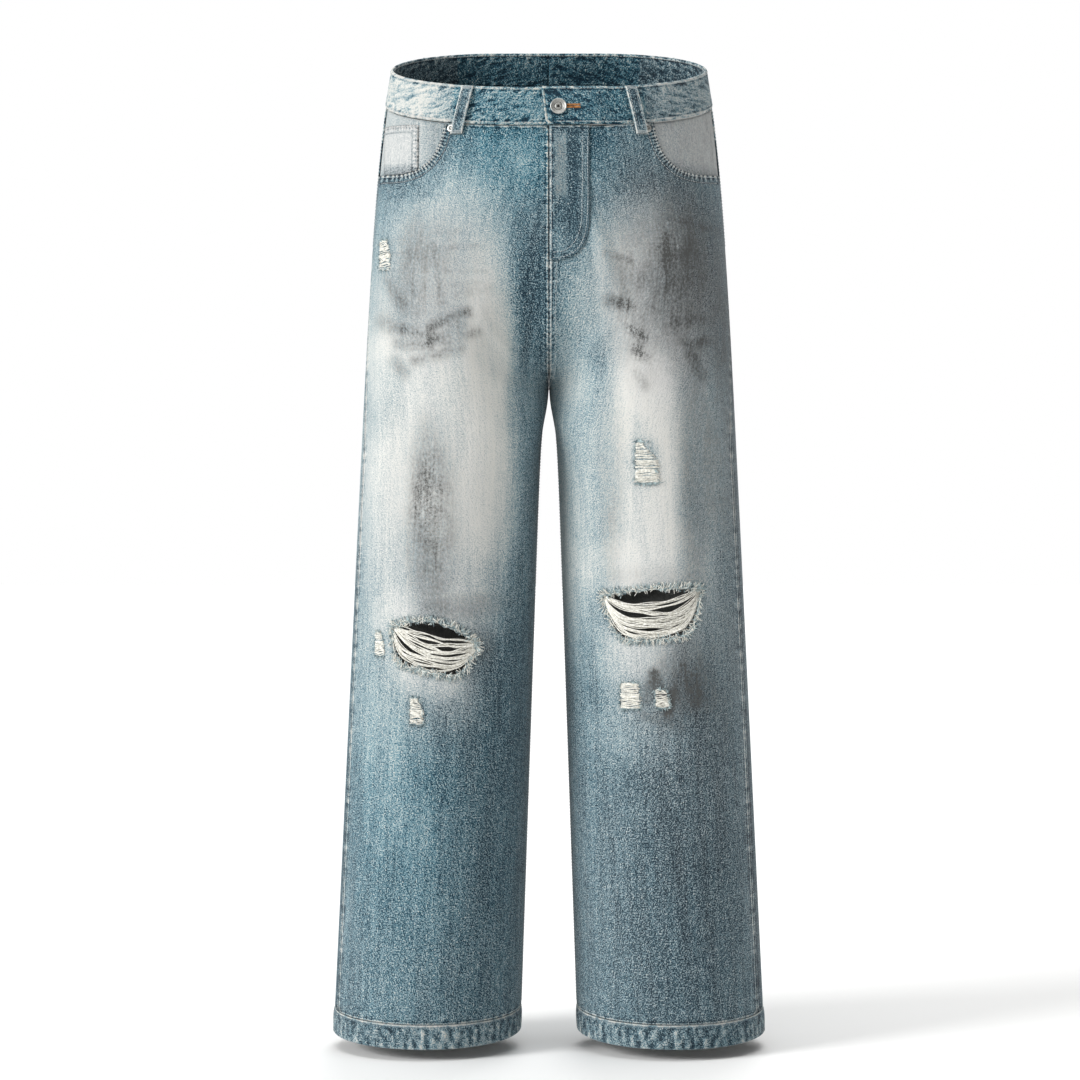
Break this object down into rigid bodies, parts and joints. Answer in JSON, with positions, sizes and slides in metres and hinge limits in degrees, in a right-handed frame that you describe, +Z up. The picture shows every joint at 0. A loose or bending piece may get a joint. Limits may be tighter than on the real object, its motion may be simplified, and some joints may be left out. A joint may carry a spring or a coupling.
{
  "type": "jeans",
  "caption": "Wide-leg ripped jeans, filled out as if worn, with belt loops, a waist button, scooped front pockets and a torn hole with hanging threads at each knee.",
  "frame": {"origin": "middle of the waist opening, level with the waistband's top edge at the side seams, where a wearer's waist holds the jeans up", "axes": "+Z up towards the waist, -Y out of the front, so the fly faces -Y; +X towards the wearer's left leg"},
  "size_m": [0.461, 0.263, 1.065],
  "materials": {
    "faded_denim": "washed cotton twill, faded and stained",
    "pale_denim": "bleached cotton twill",
    "waistband_denim": "washed cotton twill, two layers",
    "hem_denim": "washed cotton twill, rolled and worn",
    "rip_threads": "loose undyed cotton threads",
    "trim_metal": "worn nickel plate"
  },
  "bodies": {
    "root": {"front_right": "faded_denim", "front_left": "faded_denim", "back_right": "faded_denim", "back_left": "faded_denim", "yoke_right": "faded_denim", "yoke_left": "faded_denim", "fly": "faded_denim", "back_pocket_right": "faded_denim", "back_pocket_left": "faded_denim", "pocket_facing_right": "pale_denim", "pocket_facing_left": "pale_denim", "coin_pocket": "pale_denim", "waistband_right": "waistband_denim", "waistband_left": "waistband_denim", "belt_loop_front_right": "waistband_denim", "belt_loop_front_left": "waistband_denim", "belt_loop_back_right": "waistband_denim", "belt_loop_back_left": "waistband_denim", "belt_loop_back_centre": "waistband_denim", "hem_right": "hem_denim", "hem_left": "hem_denim", "rip_threads_right": "rip_threads", "rip_threads_left": "rip_threads", "waist_button": "trim_metal", "rivet_right": "trim_metal", "rivet_left": "trim_metal"}
  },
  "joints": []
}
